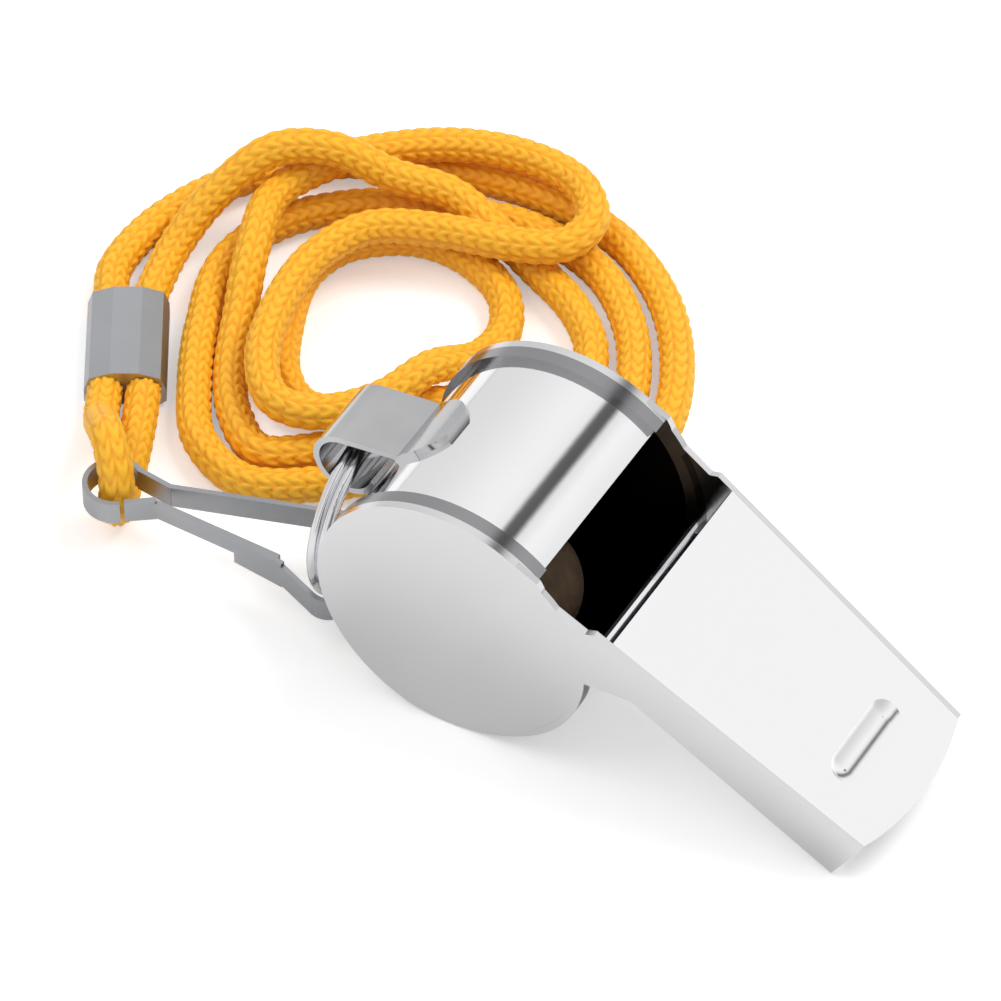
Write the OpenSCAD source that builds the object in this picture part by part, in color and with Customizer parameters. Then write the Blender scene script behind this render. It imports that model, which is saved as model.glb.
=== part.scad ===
/* [Whistle] */
// Outside diameter of the two side plates
barrel_d = 22; // [20:0.5:24]
// Width over the two side plates
body_w = 18.9; // [17:0.1:21]
// Thickness of the sheet metal
sheet = 0.5; // [0.4:0.05:0.6]
// Distance from the barrel axis to the middle of the mouthpiece edge
tip_reach = 33.2; // [31:0.1:36]
// Height of the top plate above the barrel axis
top_height = 10.7; // [10.4:0.1:11]
// Angle by which the mouthpiece points down when the whistle lies on its side plates
rest_tilt = 30.5; // [29:0.5:32]
// Diameter of the cork pea
pea_d = 10; // [8:0.5:11]

/* [Loop and ring] */
// Width of the loop tab
tab_w = 6; // [5:0.5:7]
// Mean radius of the two-turn ring
ring_r = 7; // [6.5:0.1:7.1]
// Diameter of the ring wire
ring_wire = 0.9; // [0.7:0.1:1]

/* [Snap hook] */
// Height of the hook strip
strip_h = 2; // [1.6:0.1:2.2]
// Thickness of the hook strip
strip_t = 0.4; // [0.3:0.05:0.5]

/* [Lanyard] */
// Diameter of the braided cord
cord_d = 2.7; // [2.4:0.1:2.8]
// Length of the crimped sleeve
sleeve_l = 9; // [8:0.5:9.5]

/* [Part to show] */
// Which piece to build

/* [Hidden] */
$fn = 64;
barrel_r = barrel_d / 2;
band_r = barrel_r - 0.55;
face_y = body_w / 2;
inner_y = face_y - sheet;
rim_w = 1.76;
bend_x = 2.4;
taper = 3.85;
step_angle = 28;
lip_angle = 80;
tail_x = 12.9;
tail_z = 7.16;
tail_slope = 2.9;
edge_x = tip_reach - 1.1;
edge_bulge_r = 22;
window_x = 8.9;
tab_angle = 163;
tunnel_r = 2.2;
tunnel_out = band_r + tunnel_r + sheet;
ring_x = tunnel_out * cos(tab_angle);
ring_z = barrel_r + tunnel_out * sin(tab_angle);
hook_z = 4.2;
front_x = tip_reach * cos(rest_tilt) + top_height * sin(rest_tilt);
back_x = ring_x - tunnel_r - sheet;
shift_x = -(front_x + back_x) / 2;
sleeve_pos = [-39.6, 9.2, 1.7];
sleeve_dir = 120.7;
cord_sides = 8;

// Route of the neck cord, from the sleeve round the coil and back to the sleeve
neck_route = [
    [-43.1, 12.3, 1.7], [-44.9, 16.2, 1.5], [-44.6, 22, 1.4], [-41.8, 28.5, 1.4],
    [-36.5, 34, 1.4], [-29.5, 37.2, 1.4], [-21.5, 39, 1.4], [-13.5, 38, 1.4],
    [-7, 34, 1.4], [-2.5, 28, 1.4], [-0.5, 21.5, 1.4], [-2.2, 15.4, 1.4],
    [-8, 12.4, 1.4], [-14.2, 10, 1.4], [-19, 5.5, 1.4], [-24.5, 2.2, 1.4],
    [-29.8, 4, 1.4], [-33.2, 8.6, 1.4], [-36, 14.2, 1.4], [-38, 20.5, 1.4],
    [-36.5, 26.5, 1.4], [-32, 31.2, 1.4], [-26, 34, 1.4], [-19.5, 35.6, 1.4],
    [-13, 34.3, 1.4], [-8, 30.4, 1.4], [-4.8, 25.3, 1.4], [-3.8, 20.8, 1.4],
    [-5.6, 17, 1.4], [-10, 15.3, 1.4], [-15.6, 13, 1.4], [-20.7, 8.6, 1.4],
    [-25.2, 5.4, 1.4], [-29, 7.6, 1.4], [-31.6, 11.2, 1.4], [-33.6, 15.8, 2.4],
    [-35.4, 20.5, 4.2], [-37, 26.5, 4.3], [-34.3, 32.5, 4.3], [-29, 37.3, 4.3],
    [-23.3, 39.5, 4.3], [-18, 39.3, 4.3], [-14.9, 36.5, 4.3], [-15.4, 33, 4.3],
    [-19, 31, 4.3], [-24, 29.6, 4.3], [-29, 27, 4.3], [-31, 22, 4.3],
    [-30.6, 16.5, 4.3], [-29, 11.6, 4.2], [-26, 8.3, 4.2], [-22.3, 8.8, 4.2],
    [-19, 12.4, 4.3], [-17.5, 17, 4.2], [-16, 21.2, 2.2], [-16, 25.2, 1.4],
    [-18.2, 28.6, 1.4], [-22.4, 30.4, 1.4], [-27, 30, 1.4], [-31, 26.8, 1.4],
    [-32, 22.3, 1.4], [-30.4, 17.2, 1.4], [-28, 13, 1.4], [-24.6, 11, 1.4],
    [-20.8, 13, 1.4], [-15.2, 17.2, 1.4], [-10.6, 19, 1.4], [-8, 22.8, 1.4],
    [-9.4, 27, 1.4], [-13, 30.2, 1.4], [-17.6, 32.2, 1.5], [-21.2, 32.7, 3.1],
    [-25.5, 33.2, 4.4], [-30, 32, 5.1], [-34.3, 30.4, 7.1], [-38.3, 28, 6.9],
    [-41, 24, 4.2], [-41.9, 19.6, 1.9], [-40.65, 13.8, 1.7]
];

// Route of the clip cord, from the sleeve through the hook's eye and back
clip_route = [
    [-38.55, 4.56, 1.7], [-37, 1.6, 2.2], [-34.9, -1.2, 5], [-33, -3.4, 6.9], [-31.2, -5.2, 5.6],
    [-30.8, -5.9, 3.4], [-31.4, -4.9, 1.6], [-32.6, -1.6, 1.45], [-34.4, 2.6, 1.5], [-36.05, 6.04, 1.7]
];

// Unit vector, and the direction of a route at one of its points
function unit(v) = v / norm(v);
function route_dir(p, i) = i == 0 ? unit(p[1] - p[0])
    : i == len(p) - 1 ? unit(p[i] - p[i - 1])
    : unit(p[i + 1] - p[i - 1]);
// One ring of a tube: its first corner points sideways, level with the floor
function sideways(d) = unit([-d.y, d.x, 0]);
function ring_points(c, d, r) =
    [for (k = [0 : cord_sides - 1]) c + r * (cos(k * 360 / cord_sides) * sideways(d)
        + sin(k * 360 / cord_sides) * cross(d, sideways(d)))];

module tube(p, r, ends) {
    n = len(p);
    m = cord_sides;
    dirs = [for (i = [0 : n - 1]) i == 0 ? ends[0] : i == n - 1 ? ends[1] : route_dir(p, i)];
    pts = [for (i = [0 : n - 1]) each ring_points(p[i], dirs[i], r)];
    walls = [for (i = [0 : n - 2]) for (k = [0 : m - 1])
        each [[i * m + k, (i + 1) * m + k, i * m + (k + 1) % m],
              [(i + 1) * m + k, (i + 1) * m + (k + 1) % m, i * m + (k + 1) % m]]];
    first = [for (k = [0 : m - 1]) k];
    last = [for (k = [m - 1 : -1 : 0]) (n - 1) * m + k];
    polyhedron(pts, concat(walls, [first, last]));
}

// Places the row: the barrel axis stands over x = 0 before this shift
module row() {
    translate([shift_x, 0, 0]) children();
}

// Turns what is drawn along the mouthpiece into the lying pose
module lying() {
    row() translate([0, 0, barrel_r]) rotate([0, rest_tilt, 0]) children();
}

// Puts a drawing of the side view, x along the mouthpiece and y up, between two widths
module across(y0, y1) {
    translate([0, y1, 0]) rotate([90, 0, 0]) linear_extrude(y1 - y0) children();
}

// A wedge of the side view from one angle to another, for cutting rings into arcs
module wedge(a0, a1, reach = 30) {
    polygon(concat([[0, 0]], [for (i = [0 : 6]) reach * [cos(a0 + (a1 - a0) * i / 6),
        sin(a0 + (a1 - a0) * i / 6)]]));
}

module arc_band(r_out, r_in, a0, a1) {
    intersection() {
        difference() {
            circle(r_out);
            circle(r_in);
        }
        wedge(a0, a1);
    }
}

// Lower edge of the mouthpiece at a distance from the barrel axis
function tail_low(x) = tail_z - (x - tail_x) * tan(tail_slope);

module side_outline() {
    circle(barrel_r);
    polygon([
        [0, 0], [barrel_r * cos(step_angle), barrel_r * sin(step_angle)], [tail_x, tail_z],
        [edge_x, tail_low(edge_x)], [edge_x, top_height], [window_x - 1.4, top_height],
        [window_x - 1.9, top_height - 0.6], [3.4, top_height - 0.6], [2.6, top_height + 0.1], [2, 11.15], [0, 11]
    ]);
}

module side_plate() {
    across(-face_y, -inner_y) intersection() {
        side_outline();
        translate([-20, -20]) square([20 + bend_x, 40]);
    }
    across(-inner_y, -face_y + rim_w) arc_band(barrel_r, band_r, lip_angle, 360 + step_angle);
    translate([bend_x, -face_y, 0]) rotate([0, 0, taper]) translate([-bend_x, 0, 0])
        across(0, sheet) intersection() {
            side_outline();
            translate([bend_x, -20]) square([40, 40]);
        }
}

// The space between the two tapered side plates, seen from above, with the curved front edge
module between_sides(front) {
    intersection() {
        translate([0, 0, -20]) linear_extrude(40) intersection() {
            polygon([
                [-20, -inner_y], [bend_x, -inner_y], [front + 2, -inner_y + (front + 2 - bend_x) * tan(taper)],
                [front + 2, inner_y - (front + 2 - bend_x) * tan(taper)], [bend_x, inner_y], [-20, inner_y]
            ]);
            union() {
                translate([front - edge_bulge_r, 0]) circle(edge_bulge_r, $fn = 128);
                translate([-20, -20]) square([20 + front / 2, 40]);
            }
        }
        children();
    }
}

module side_near() {
    color([0.86, 0.86, 0.87]) lying() side_plate();
}

module side_far() {
    color([0.86, 0.86, 0.87]) lying() mirror([0, 1, 0]) side_plate();
}

module barrel_band() {
    color([0.8, 0.8, 0.81]) lying() between_sides(tip_reach) across(-face_y, face_y) {
        arc_band(band_r, band_r - sheet, lip_angle, 360 + step_angle);
        polygon([
            (band_r - sheet + 0.05) * [cos(step_angle - 3), sin(step_angle - 3)],
            (band_r - 0.05) * [cos(step_angle - 3), sin(step_angle - 3)],
            [tail_x, tail_low(tail_x)], [edge_x, tail_low(edge_x)],
            [edge_x, tail_low(edge_x) + sheet], [tail_x - 0.2, tail_low(tail_x) + sheet]
        ]);
    }
}

module top_plate() {
    dent_x = 27.6;
    dent_l = 5.6;
    dent_r = 2.5;
    color([0.92, 0.92, 0.93]) lying() difference() {
        between_sides(tip_reach) translate([window_x, -20, top_height - sheet]) cube([40, 40, sheet]);
        translate([dent_x, 0, top_height + dent_r - 0.36]) {
            rotate([90, 0, 0]) cylinder(r = dent_r, h = dent_l, center = true);
            for (side = [-1, 1]) translate([0, side * dent_l / 2, 0]) sphere(dent_r);
        }
    }
}

module windway_plate() {
    color([0.6, 0.6, 0.62]) lying() between_sides(tip_reach) across(-inner_y, inner_y)
        polygon([
            [11.2, 8.6], [11.2, 8.2], [20, tail_low(20) + sheet], [24, tail_low(24) + sheet],
            [24, tail_low(24) + sheet + 0.4], [20.2, tail_low(20) + sheet + 0.4]
        ]);
}

module pea() {
    color([0.72, 0.55, 0.38]) row()
        translate([0, 0, barrel_r - (band_r - sheet - pea_d / 2 - 0.1)]) sphere(d = pea_d);
}

module loop_tab() {
    leaf_end = 117;
    fold = [-13.03, 6.51];
    color([0.83, 0.83, 0.84]) row() translate([0, 0, barrel_r]) {
        across(-tab_w / 2, tab_w / 2) {
            arc_band(band_r + sheet, band_r, 128, 141);
            polygon([
                fold, (band_r + sheet) * [cos(138), sin(138)], (band_r + 0.1) * [cos(139), sin(139)],
                [fold.x + 0.05, fold.y - sheet]
            ]);
            arc_band(band_r + sheet, band_r, 167, 184);
            translate([tunnel_out * cos(tab_angle), tunnel_out * sin(tab_angle)])
                arc_band(tunnel_r + sheet, tunnel_r, 97, 345);
        }
        intersection() {
            across(-tab_w / 2, tab_w / 2) arc_band(band_r + sheet, band_r, leaf_end, 128.5);
            rotate([0, -leaf_end - 14.5, 0]) rotate([0, 90, 0]) cylinder(d = tab_w, h = 20);
        }
    }
}

module split_ring() {
    color([0.78, 0.78, 0.8]) row() translate([ring_x, 0, ring_z - ring_r]) rotate([0, 90, 0])
        for (turn = [-1, 1]) translate([0, 0, turn * 0.42])
            rotate_extrude() translate([ring_r, 0]) circle(d = ring_wire, $fn = 24);
}

// A straight strip of the hook from one plan point to another
module strip(a, b, t = strip_t, h = strip_h) {
    d = b - a;
    translate([a.x, a.y, -h / 2]) rotate([0, 0, atan2(d.y, d.x)]) translate([-0.15, -t / 2, 0])
        cube([norm(d) + 0.3, t, h]);
}

// A bent strip of the hook about a plan centre
module bend(c, r, a0, a1, t = strip_t, h = strip_h) {
    translate([c.x, c.y, -h / 2]) linear_extrude(h) arc_band(r + t / 2, r - t / 2, a0, a1);
}

module hook_frame() {
    eye = [-31.1, -5.6];
    neck = [-27.3, -3.9];
    far_end = [-13.6, 0.9];
    near_end = [-12.6, -7.6];
    catch_end = [-20.2, -6];
    color([0.62, 0.63, 0.65]) row() translate([0, 0, hook_z]) {
        bend(eye, 2.2, 62, 312);
        strip(eye + 2.2 * [cos(62), sin(62)], neck);
        strip(neck, far_end);
        bend([-12.85, -1.15], 2.2, -1, 110.5);
        strip([-10.65, -1.15], [-10.65, -6.2]);
        bend([-12.15, -6.2], 1.5, -110, 1);
        strip([-12.7, -7.6], [-16.2, -6.3]);
        strip([-16.2, -6.3], catch_end, strip_t, strip_h + 0.5);
    }
}

module hook_gate() {
    color([0.66, 0.67, 0.69]) row() translate([0, 0, hook_z]) {
        strip([-29.3, -6.87], [-27.6, -5.6]);
        strip([-27.7, -5.6], [-17, -5.55], strip_t, strip_h - 0.4);
    }
}

module crimp_sleeve() {
    half_h = 1.69;
    half_w = 3.1;
    color([0.6, 0.61, 0.63]) row() translate(sleeve_pos) rotate([0, 0, sleeve_dir]) rotate([0, 90, 0])
        translate([0, 0, -sleeve_l / 2]) linear_extrude(sleeve_l) polygon([
            [-half_h, -1.1], [-half_h, 1.1], [-1.1, half_w - 0.4], [0.1, half_w], [1.3, half_w],
            [half_h, half_w - 0.5], [half_h, 0.5 - half_w], [1.3, -half_w], [0.1, -half_w], [-1.1, 0.4 - half_w]
        ]);
}

module neck_cord() {
    out = [cos(sleeve_dir), sin(sleeve_dir), 0];
    color([0.98, 0.66, 0.1]) row() tube(neck_route, cord_d / 2, [out, -out]);
}

module clip_cord() {
    out = [cos(sleeve_dir), sin(sleeve_dir), 0];
    color([0.98, 0.66, 0.1]) row() tube(clip_route, cord_d / 2, [-out, out]);
}

side_near();
side_far();
barrel_band();
top_plate();
windway_plate();
pea();
loop_tab();
split_ring();
hook_frame();
hook_gate();
crimp_sleeve();
neck_cord();
clip_cord();
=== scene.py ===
"""Looks for the pea whistle with its lanyard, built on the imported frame."""
from math import cos, pi, radians, sin

import bpy
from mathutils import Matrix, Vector, noise


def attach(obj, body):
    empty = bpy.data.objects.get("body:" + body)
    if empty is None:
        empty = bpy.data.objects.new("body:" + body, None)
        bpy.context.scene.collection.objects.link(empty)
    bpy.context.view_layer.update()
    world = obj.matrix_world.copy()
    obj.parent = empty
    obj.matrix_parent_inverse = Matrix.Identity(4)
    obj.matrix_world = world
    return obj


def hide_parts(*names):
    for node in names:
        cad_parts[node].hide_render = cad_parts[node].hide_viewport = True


MM = 0.001

# The cord: its width in millimetres, and its knitted surface
CORD_D = 2.7
WALES = 7
SIDES_PER_WALE = 7
STITCH = 1.15
STITCH_DEPTH = 0.22
STITCH_PROUD = 1.15
STITCH_LEAN = 0.75
CROWN_ROUNDNESS = 0.6
LEG_ROUNDNESS = 0.4
EDGE_SHARE = 0.35
SWELL = 0.02
SWELL_SCALE = 400
RING_STEP = 0.16

# Where the barrel's axis stands in the row frame, in millimetres.
# The whistle lies on its round barrel, so the axis is one radius high.
BARREL_X = -9.382
BARREL_Z = 11
# Radii from that axis: the painted shade inside on the side plates and on the band, then the turned-in rim,
# which carries a painted reflection
SIDE_SHADE_RADIUS = 9.3
BAND_SHADE_RADIUS = 10.2
RIM_INNER = 10.35
RIM_OUTER = 11.1
# How far to each side of the middle the painted shade inside and the rim's painted reflection reach
CHAMBER_HALF = 8.98
RIM_HALF = 8.8
# Painted shade: near-black on the walls inside the barrel
CHAMBER_PAINTED_SHADE = (0.025, 0.025, 0.028)
# Painted reflection: grey on the side plates' turned-in rims, standing in for what the edge reflects
RIM_PAINTED_REFLECTION = (0.33, 0.33, 0.34)

# Noise scales and bump depths of the finishes, and how much the patches lighten or darken the yarn
SMUDGE_SCALE = 140
GRAIN_SCALE = 900
FILAMENT_SCALE = 5200
PATCH_SCALE = 260
PATCH_SHARE = 0.35
FINE_DEPTH = 0.0001
CORK_DEPTH = 0.0003

CAMERA_AZIMUTH = 30.84
CAMERA_ELEVATION = 47.78
CAMERA_DISTANCE = 0.6071
CAMERA_LENS = 301.65
CAMERA_TARGET = (-0.0114, 0.00127, 0.0130)
SENSOR_WIDTH = 36
FAR_CLIP = 20

FLOOR_HALF = 3.0
FLOOR_DROP = 0.0001
FLOOR_LIFT = 0.35
ROOM_GREY = 0.62
# The room that glossy rays see, from -X to +X: a place from 0 to 1 and a grey
ROOM_STOPS = (
    (0.0, 0.75), (0.48, 0.95), (0.56, 0.9), (0.6, 0.12),
    (0.645, 0.1), (0.68, 0.85), (0.74, 0.97), (1.0, 0.6),
)

# Sockets of the Mix node when it mixes colours
MIX_FACTOR = 0
MIX_A = 6
MIX_B = 7
MIX_RESULT = 2

# Both routes are in millimetres from the barrel's axis along X
NECK_ROUTE = [
    (-43.1, 12.3, 1.7), (-44.9, 16.2, 1.5), (-44.6, 22, 1.4), (-41.8, 28.5, 1.4),
    (-36.5, 34, 1.4), (-29.5, 37.2, 1.4), (-21.5, 39, 1.4), (-13.5, 38, 1.4),
    (-7, 34, 1.4), (-2.5, 28, 1.4), (-0.5, 21.5, 1.4), (-2.2, 15.4, 1.4),
    (-8, 12.4, 1.4), (-14.2, 10, 1.4), (-19, 5.5, 1.4), (-24.5, 2.2, 1.4),
    (-29.8, 4, 1.4), (-33.2, 8.6, 1.4), (-36, 14.2, 1.4), (-38, 20.5, 1.4),
    (-36.5, 26.5, 1.4), (-32, 31.2, 1.4), (-26, 34, 1.4), (-19.5, 35.6, 1.4),
    (-13, 34.3, 1.4), (-8, 30.4, 1.4), (-4.8, 25.3, 1.4), (-3.8, 20.8, 1.4),
    (-5.6, 17, 1.4), (-10, 15.3, 1.4), (-15.6, 13, 1.4), (-20.7, 8.6, 1.4),
    (-25.2, 5.4, 1.4), (-29, 7.6, 1.4), (-31.6, 11.2, 1.4), (-33.6, 15.8, 2.4),
    (-35.4, 20.5, 4.2), (-37, 26.5, 4.3), (-34.3, 32.5, 4.3), (-29, 37.3, 4.3),
    (-23.3, 39.5, 4.3), (-18, 39.3, 4.3), (-14.9, 36.5, 4.3), (-15.4, 33, 4.3),
    (-19, 31, 4.3), (-24, 29.6, 4.3), (-29, 27, 4.3), (-31, 22, 4.3),
    (-30.6, 16.5, 4.3), (-29, 11.6, 4.2), (-26, 8.3, 4.2), (-22.3, 8.8, 4.2),
    (-19, 12.4, 4.3), (-17.5, 17, 4.2), (-16, 21.2, 2.2), (-16, 25.2, 1.4),
    (-18.2, 28.6, 1.4), (-22.4, 30.4, 1.4), (-27, 30, 1.4), (-31, 26.8, 1.4),
    (-32, 22.3, 1.4), (-30.4, 17.2, 1.4), (-28, 13, 1.4), (-24.6, 11, 1.4),
    (-20.8, 13, 1.4), (-15.2, 17.2, 1.4), (-10.6, 19, 1.4), (-8, 22.8, 1.4),
    (-9.4, 27, 1.4), (-13, 30.2, 1.4), (-17.6, 32.2, 1.5), (-21.2, 32.7, 3.1),
    (-25.5, 33.2, 4.4), (-30, 32, 5.1), (-34.3, 30.4, 7.1), (-38.3, 28, 6.9),
    (-41, 24, 4.2), (-41.9, 19.6, 1.9), (-40.65, 13.8, 1.7),
]
CLIP_ROUTE = [
    (-38.55, 4.56, 1.7), (-37, 1.6, 2.2), (-34.9, -1.2, 5), (-33, -3.4, 6.9),
    (-31.2, -5.2, 5.6), (-30.8, -5.9, 3.4), (-31.4, -4.9, 1.6), (-32.6, -1.6, 1.45),
    (-34.4, 2.6, 1.5), (-36.05, 6.04, 1.7),
]


# ---------------------------------------------------------------- camera

def make_camera():
    """A long lens at the photograph's viewing angle."""
    azimuth, elevation = radians(CAMERA_AZIMUTH), radians(CAMERA_ELEVATION)
    back = Vector((sin(azimuth) * cos(elevation), -cos(azimuth) * cos(elevation), sin(elevation)))
    data = bpy.data.cameras.new("camera")
    data.lens = CAMERA_LENS
    data.sensor_width = SENSOR_WIDTH
    data.clip_end = FAR_CLIP
    camera = bpy.data.objects.new("camera", data)
    camera.location = Vector(CAMERA_TARGET) + back * CAMERA_DISTANCE
    camera.rotation_euler = (pi / 2 - elevation, 0, azimuth)
    bpy.context.scene.collection.objects.link(camera)
    bpy.context.scene.camera = camera


# ---------------------------------------------------------------- cords

def smooth_route(route):
    """Points a small step apart on one smooth curve through the route, in metres."""
    points = [Vector((x + BARREL_X, y, z)) * MM for x, y, z in route]
    first = points[0] * 2 - points[1]
    last = points[-1] * 2 - points[-2]
    points = [first] + points + [last]
    fine = []
    for i in range(1, len(points) - 2):
        p0, p1, p2, p3 = points[i - 1:i + 3]
        count = max(2, round((p2 - p1).length / (RING_STEP * MM)))
        for k in range(count):
            t = k / count
            fine.append(0.5 * (2 * p1 + (p2 - p0) * t + (2 * p0 - 5 * p1 + 4 * p2 - p3) * t ** 2
                               + (3 * p1 - p0 - 3 * p2 + p3) * t ** 3))
    fine.append(points[-2])
    return fine


def braid_height(along, turn):
    """Height of the knitted stitches, 0 in a groove and 1 on a crown; turn is 0 to 1 round the cord."""
    wale = (turn * WALES) % 1.0
    slant = abs(wale - 0.5) * 2
    phase = (along / STITCH + STITCH_LEAN * slant) % 1.0
    crown = max(0.0, sin(pi * phase)) ** CROWN_ROUNDNESS
    leg = max(0.0, sin(pi * slant)) ** LEG_ROUNDNESS
    return crown * (EDGE_SHARE + (1 - EDGE_SHARE) * leg)


def braided_tube(name, route, node):
    """A round cord with its knitted surface modelled, along a route."""
    path = smooth_route(route)
    sides = WALES * SIDES_PER_WALE
    frame_side = Vector((0, 0, 1)).cross(path[1] - path[0]).normalized()
    vertices, heights = [], []
    along = 0.0
    for i, point in enumerate(path):
        ahead = (path[min(i + 1, len(path) - 1)] - path[max(i - 1, 0)]).normalized()
        frame_side = (frame_side - ahead * frame_side.dot(ahead)).normalized()
        up = ahead.cross(frame_side)
        if i:
            along += (point - path[i - 1]).length / MM
        swell = 1 + SWELL * noise.noise(point * SWELL_SCALE)
        for k in range(sides):
            turn = k / sides
            height = braid_height(along, turn)
            radius = (CORD_D / 2 - STITCH_DEPTH + STITCH_DEPTH * STITCH_PROUD * height) * swell * MM
            angle = 2 * pi * turn
            vertices.append(point + radius * (cos(angle) * frame_side + sin(angle) * up))
            heights.append(height)
    faces = []
    for i in range(len(path) - 1):
        for k in range(sides):
            a, b = i * sides + k, i * sides + (k + 1) % sides
            faces.append((a, b, b + sides, a + sides))
    faces.append(tuple(reversed(range(sides))))
    faces.append(tuple(range((len(path) - 1) * sides, len(path) * sides)))
    mesh = bpy.data.meshes.new(name)
    mesh.from_pydata([tuple(v) for v in vertices], [], faces)
    mesh.shade_smooth()
    stitch = mesh.attributes.new("stitch", "FLOAT", "POINT")
    stitch.data.foreach_set("value", heights)
    cord = bpy.data.objects.new(name, mesh)
    bpy.context.scene.collection.objects.link(cord)
    cord.data.materials.append(braid_material())
    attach(cord, "lanyard")
    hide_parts(node)
    return cord, path


def make_cords():
    neck, path = braided_tube("neck_braid", NECK_ROUTE, "neck_cord")
    clip, path = braided_tube("clip_braid", CLIP_ROUTE, "clip_cord")


# ---------------------------------------------------------------- materials

def new_material(name):
    material = bpy.data.materials.new(name)
    material.use_nodes = True
    nodes, links = material.node_tree.nodes, material.node_tree.links
    return material, nodes, links, nodes["Principled BSDF"]


def noise_node(nodes, links, scale, detail=4.0, stretch=(1, 1, 1)):
    """Noise over the piece's own coordinates, stretched for brushed marks."""
    coordinates = nodes.new("ShaderNodeTexCoord")
    mapping = nodes.new("ShaderNodeMapping")
    mapping.inputs["Scale"].default_value = stretch
    texture = nodes.new("ShaderNodeTexNoise")
    texture.inputs["Scale"].default_value = scale
    texture.inputs["Detail"].default_value = detail
    links.new(coordinates.outputs["Object"], mapping.inputs["Vector"])
    links.new(mapping.outputs["Vector"], texture.inputs["Vector"])
    return texture.outputs["Fac"]


def remap(nodes, links, value, low, high):
    spread = nodes.new("ShaderNodeMapRange")
    spread.inputs["To Min"].default_value = low
    spread.inputs["To Max"].default_value = high
    links.new(value, spread.inputs["Value"])
    return spread.outputs["Result"]


def add_bump(nodes, links, shader, height, strength, distance):
    bump = nodes.new("ShaderNodeBump")
    bump.inputs["Strength"].default_value = strength
    bump.inputs["Distance"].default_value = distance
    links.new(height, bump.inputs["Height"])
    links.new(bump.outputs["Normal"], shader.inputs["Normal"])


def mix_colours(nodes, links, factor, first, second):
    """A colour between two, each of them three numbers or another node's socket."""
    mix = nodes.new("ShaderNodeMix")
    mix.data_type = "RGBA"
    for place, colour in ((MIX_A, first), (MIX_B, second)):
        if isinstance(colour, tuple):
            mix.inputs[place].default_value = (*colour, 1)
        else:
            links.new(colour, mix.inputs[place])
    links.new(factor, mix.inputs[MIX_FACTOR])
    return mix.outputs[MIX_RESULT]


def math_node(nodes, links, operation, value, other=0):
    node = nodes.new("ShaderNodeMath")
    node.operation = operation
    links.new(value, node.inputs[0])
    if isinstance(other, (int, float)):
        node.inputs[1].default_value = other
    else:
        links.new(other, node.inputs[1])
    return node.outputs[0]


def from_axis(nodes, links):
    """The square of the distance from the barrel's axis, and the distance from the whistle's middle."""
    coordinates = nodes.new("ShaderNodeTexCoord")
    split = nodes.new("ShaderNodeSeparateXYZ")
    links.new(coordinates.outputs["Object"], split.inputs[0])
    across = math_node(nodes, links, "SUBTRACT", split.outputs["X"], BARREL_X * MM)
    height = math_node(nodes, links, "SUBTRACT", split.outputs["Z"], BARREL_Z * MM)
    across = math_node(nodes, links, "MULTIPLY", across, across)
    height = math_node(nodes, links, "MULTIPLY", height, height)
    reach = math_node(nodes, links, "ADD", across, height)
    return reach, math_node(nodes, links, "ABSOLUTE", split.outputs["Y"])


def chamber_shade_mask(nodes, links, radius):
    """1 on the walls inside the barrel, out to the radius, which are painted near-black as shade, and 0
    elsewhere.
    """
    reach, aside = from_axis(nodes, links)
    near_axis = math_node(nodes, links, "LESS_THAN", reach, (radius * MM) ** 2)
    between = math_node(nodes, links, "LESS_THAN", aside, CHAMBER_HALF * MM)
    return math_node(nodes, links, "MULTIPLY", near_axis, between)


def rim_mask(nodes, links):
    """1 on the turned-in rim of a side plate, which takes a grey painted reflection, and 0 elsewhere."""
    reach, aside = from_axis(nodes, links)
    outer = math_node(nodes, links, "GREATER_THAN", reach, (RIM_INNER * MM) ** 2)
    inner = math_node(nodes, links, "LESS_THAN", reach, (RIM_OUTER * MM) ** 2)
    edge = math_node(nodes, links, "LESS_THAN", aside, RIM_HALF * MM)
    ring = math_node(nodes, links, "MULTIPLY", outer, inner)
    return math_node(nodes, links, "MULTIPLY", ring, edge)


def metal(name, dark, light, rough_low, rough_high,
          bump=0.02, stretch=(1, 1, 1), shaded_hollow=0, rim=False):
    """Sheet metal with faint mottling and a fine grain.

    The radius for the inside, if given, is how far from the barrel's axis the walls are painted dark as
    shade, and rim paints a grey reflection on the turned-in rim.
    """
    material, nodes, links, shader = new_material(name)
    shader.inputs["Metallic"].default_value = 1
    smudge = noise_node(nodes, links, SMUDGE_SCALE, 3)
    grain = noise_node(nodes, links, GRAIN_SCALE, 5, stretch)
    colour = mix_colours(nodes, links, smudge, dark, light)
    if shaded_hollow:
        # Painted shade: the walls inside the barrel turn near-black
        colour = mix_colours(nodes, links, chamber_shade_mask(nodes, links, shaded_hollow), colour, CHAMBER_PAINTED_SHADE)
    if rim:
        # Painted reflection: the turned-in rim turns grey
        colour = mix_colours(nodes, links, rim_mask(nodes, links), colour, RIM_PAINTED_REFLECTION)
    links.new(colour, shader.inputs["Base Color"])
    links.new(remap(nodes, links, smudge, rough_low, rough_high), shader.inputs["Roughness"])
    add_bump(nodes, links, shader, grain, bump, FINE_DEPTH)
    return material


def cork_material():
    material, nodes, links, shader = new_material("cork_grain")
    grain = noise_node(nodes, links, GRAIN_SCALE, 8)
    colour = mix_colours(nodes, links, grain, (0.05, 0.035, 0.025), (0.2, 0.13, 0.08))
    links.new(colour, shader.inputs["Base Color"])
    links.new(remap(nodes, links, grain, 0.75, 0.95), shader.inputs["Roughness"])
    add_bump(nodes, links, shader, grain, 0.6, CORK_DEPTH)
    return material


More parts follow.
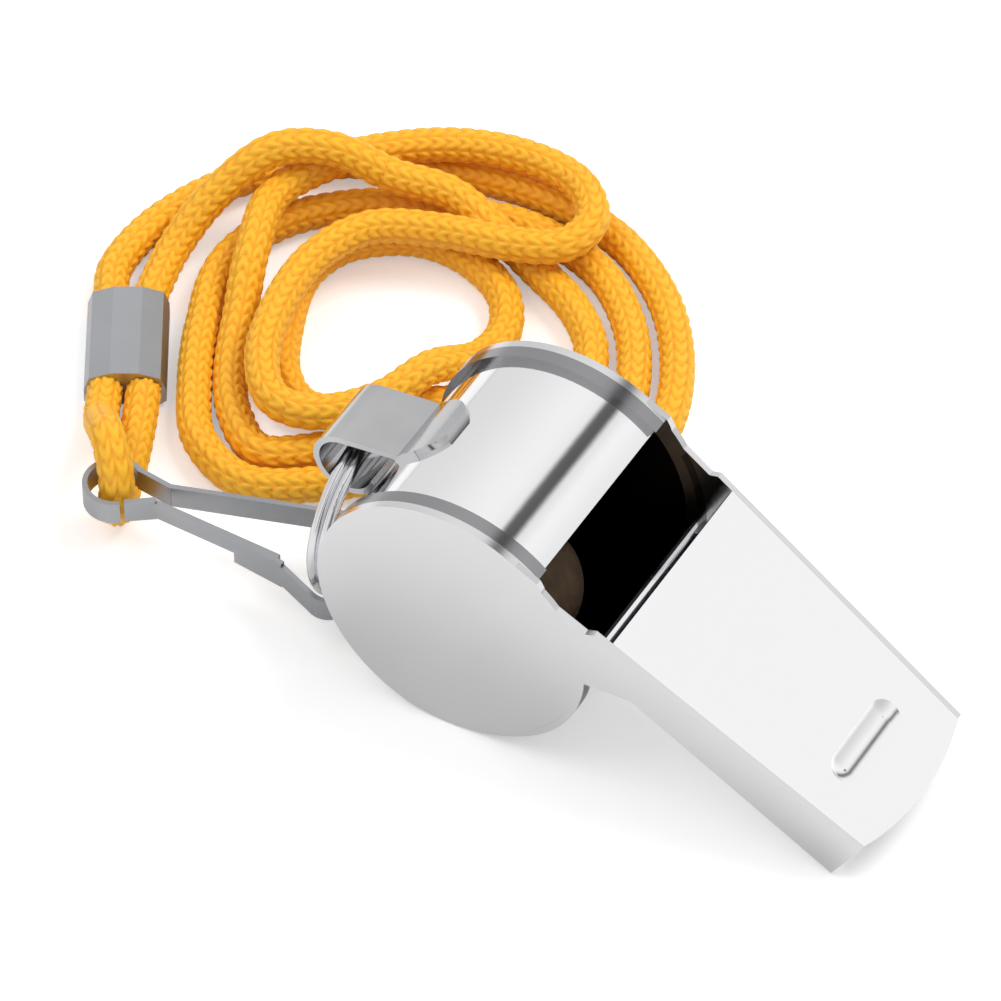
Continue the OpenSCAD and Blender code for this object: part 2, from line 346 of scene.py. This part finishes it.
def braid_material():
    """Shiny polyester yarn: painted shade darkens it to a deeper orange in the grooves, and fine filaments
    lie on each stitch.
    """
    name = "braid_yarn"
    if name in bpy.data.materials:
        return bpy.data.materials[name]
    material, nodes, links, shader = new_material(name)
    stitch = nodes.new("ShaderNodeAttribute")
    stitch.attribute_name = "stitch"
    filament = noise_node(nodes, links, FILAMENT_SCALE, 3)
    patch = noise_node(nodes, links, PATCH_SCALE, 2)
    spread = nodes.new("ShaderNodeMath")
    spread.operation = "MULTIPLY_ADD"
    spread.inputs[1].default_value = PATCH_SHARE
    links.new(patch, spread.inputs[0])
    links.new(stitch.outputs["Fac"], spread.inputs[2])
    # Painted shade: the stitch height makes the yarn darker and deeper orange in the grooves than on the
    # crowns, while the noise patches vary the tone at random
    groove_shade_and_patches = remap(nodes, links, spread.outputs[0], 0.0, 0.85)
    colour = mix_colours(nodes, links, groove_shade_and_patches, (0.86, 0.27, 0.0), (1.0, 0.56, 0.03))
    links.new(colour, shader.inputs["Base Color"])
    links.new(remap(nodes, links, filament, 0.42, 0.68), shader.inputs["Roughness"])
    shader.inputs["Sheen Weight"].default_value = 0.25
    shader.inputs["Sheen Roughness"].default_value = 0.4
    shader.inputs["Sheen Tint"].default_value = (1, 0.75, 0.35, 1)
    add_bump(nodes, links, shader, filament, 0.35, FINE_DEPTH)
    return material


def dress_nodes():
    """The CAD's own solids keep their shape and take their finish here."""
    # The side plates and the band are painted dark as shade inside the barrel, and the side plates also
    # carry a grey painted reflection on their rims
    side = metal("side_polish", (0.74, 0.74, 0.75), (0.78, 0.78, 0.79), 0.16, 0.24,
                 shaded_hollow=SIDE_SHADE_RADIUS, rim=True)
    band = metal("band_mirror", (0.9, 0.9, 0.91), (0.94, 0.94, 0.95), 0.05, 0.11,
                 shaded_hollow=BAND_SHADE_RADIUS)
    tab = metal("tab_mirror", (0.42, 0.42, 0.43), (0.68, 0.68, 0.69), 0.08, 0.16)
    top = metal("top_polish", (0.93, 0.93, 0.94), (0.97, 0.97, 0.98), 0.14, 0.22)
    inner = metal("inner_dull", (0.12, 0.12, 0.13), (0.2, 0.2, 0.21), 0.4, 0.6)
    wire = metal("wire_polish", (0.7, 0.7, 0.72), (0.82, 0.82, 0.84), 0.1, 0.2)
    strip = metal("strip_satin", (0.3, 0.31, 0.33), (0.5, 0.51, 0.53), 0.26, 0.42,
                  bump=0.1, stretch=(1, 1, 6))
    sleeve = metal("sleeve_satin", (0.4, 0.41, 0.43), (0.55, 0.56, 0.58), 0.36, 0.5,
                   bump=0.15, stretch=(1, 1, 4))
    finishes = {
        "side_near": side, "side_far": side, "barrel_band": band, "top_plate": top,
        "windway_plate": inner, "pea": cork_material(), "loop_tab": tab, "split_ring": wire,
        "hook_frame": strip, "hook_gate": strip, "crimp_sleeve": sleeve,
    }
    for name, material in finishes.items():
        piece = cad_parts[name]
        piece.data.materials.clear()
        piece.data.materials.append(material)


# ---------------------------------------------------------------- studio

def floor_material():
    """Pale floor that the camera sees as white paper, with the object's shadow left on it."""
    material, nodes, links, shader = new_material("paper_floor")
    shader.inputs["Base Color"].default_value = (0.9, 0.9, 0.9, 1)
    shader.inputs["Roughness"].default_value = 0.9
    shader.inputs["Specular IOR Level"].default_value = 0.1
    lift = nodes.new("ShaderNodeEmission")
    path = nodes.new("ShaderNodeLightPath")
    scale = nodes.new("ShaderNodeMath")
    scale.operation = "MULTIPLY"
    scale.inputs[1].default_value = FLOOR_LIFT
    both = nodes.new("ShaderNodeAddShader")
    links.new(path.outputs["Is Camera Ray"], scale.inputs[0])
    links.new(scale.outputs[0], lift.inputs["Strength"])
    links.new(shader.outputs[0], both.inputs[0])
    links.new(lift.outputs[0], both.inputs[1])
    links.new(both.outputs[0], nodes["Material Output"].inputs["Surface"])
    return material


def make_floor():
    mesh = bpy.data.meshes.new("floor")
    corners = [(x * FLOOR_HALF, y * FLOOR_HALF, 0) for x, y in ((-1, -1), (1, -1), (1, 1), (-1, 1))]
    mesh.from_pydata(corners, [], [(0, 1, 2, 3)])
    floor = bpy.data.objects.new("floor", mesh)
    floor.location.z = -FLOOR_DROP
    bpy.context.scene.collection.objects.link(floor)
    floor.data.materials.append(floor_material())


def make_world():
    """Even pale room; glossy rays also see one dark band, a little to the +X side of overhead."""
    world = bpy.data.worlds.new("studio")
    world.use_nodes = True
    bpy.context.scene.world = world
    nodes, links = world.node_tree.nodes, world.node_tree.links
    background = nodes["Background"]
    coordinates = nodes.new("ShaderNodeTexCoord")
    split = nodes.new("ShaderNodeSeparateXYZ")
    ramp = nodes.new("ShaderNodeValToRGB")
    ramp.color_ramp.interpolation = "EASE"
    elements = ramp.color_ramp.elements
    while len(elements) < len(ROOM_STOPS):
        elements.new(0.5)
    for element, (place, grey) in zip(elements, ROOM_STOPS):
        element.position = place
        element.color = (grey, grey, grey, 1)
    shift = nodes.new("ShaderNodeMapRange")
    shift.inputs["From Min"].default_value = -1
    links.new(coordinates.outputs["Generated"], split.inputs[0])
    links.new(split.outputs["X"], shift.inputs["Value"])
    links.new(shift.outputs["Result"], ramp.inputs["Fac"])
    path = nodes.new("ShaderNodeLightPath")
    room = mix_colours(nodes, links, path.outputs["Is Glossy Ray"], (ROOM_GREY,) * 3, ramp.outputs["Color"])
    seen = mix_colours(nodes, links, path.outputs["Is Camera Ray"], room, (1, 1, 1))
    links.new(seen, background.inputs["Color"])


def area_light(name, place, size, power):
    """A square lamp that faces the origin and leaves no bright spot on polished metal."""
    data = bpy.data.lights.new(name, "AREA")
    data.size = size
    data.energy = power
    lamp = bpy.data.objects.new(name, data)
    lamp.location = place
    lamp.visible_glossy = False
    lamp.rotation_euler = (-Vector(place)).to_track_quat("-Z", "Y").to_euler()
    bpy.context.scene.collection.objects.link(lamp)


def make_lights():
    area_light("key", (0.32, 0.42, 0.8), 0.5, 4.6)
    area_light("fill", (-0.5, -0.3, 0.8), 0.6, 2.0)


bpy.ops.wm.read_factory_settings(use_empty=True)
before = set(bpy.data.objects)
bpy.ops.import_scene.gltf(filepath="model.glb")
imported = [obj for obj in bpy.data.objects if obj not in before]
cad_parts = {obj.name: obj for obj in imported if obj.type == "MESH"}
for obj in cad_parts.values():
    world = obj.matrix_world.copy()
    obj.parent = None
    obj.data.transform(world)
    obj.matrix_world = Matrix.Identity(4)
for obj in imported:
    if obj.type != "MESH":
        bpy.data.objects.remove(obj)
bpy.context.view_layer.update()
make_camera()
make_cords()
dress_nodes()
make_floor()
make_world()
make_lights()
bpy.context.scene.view_settings.view_transform = "Standard"
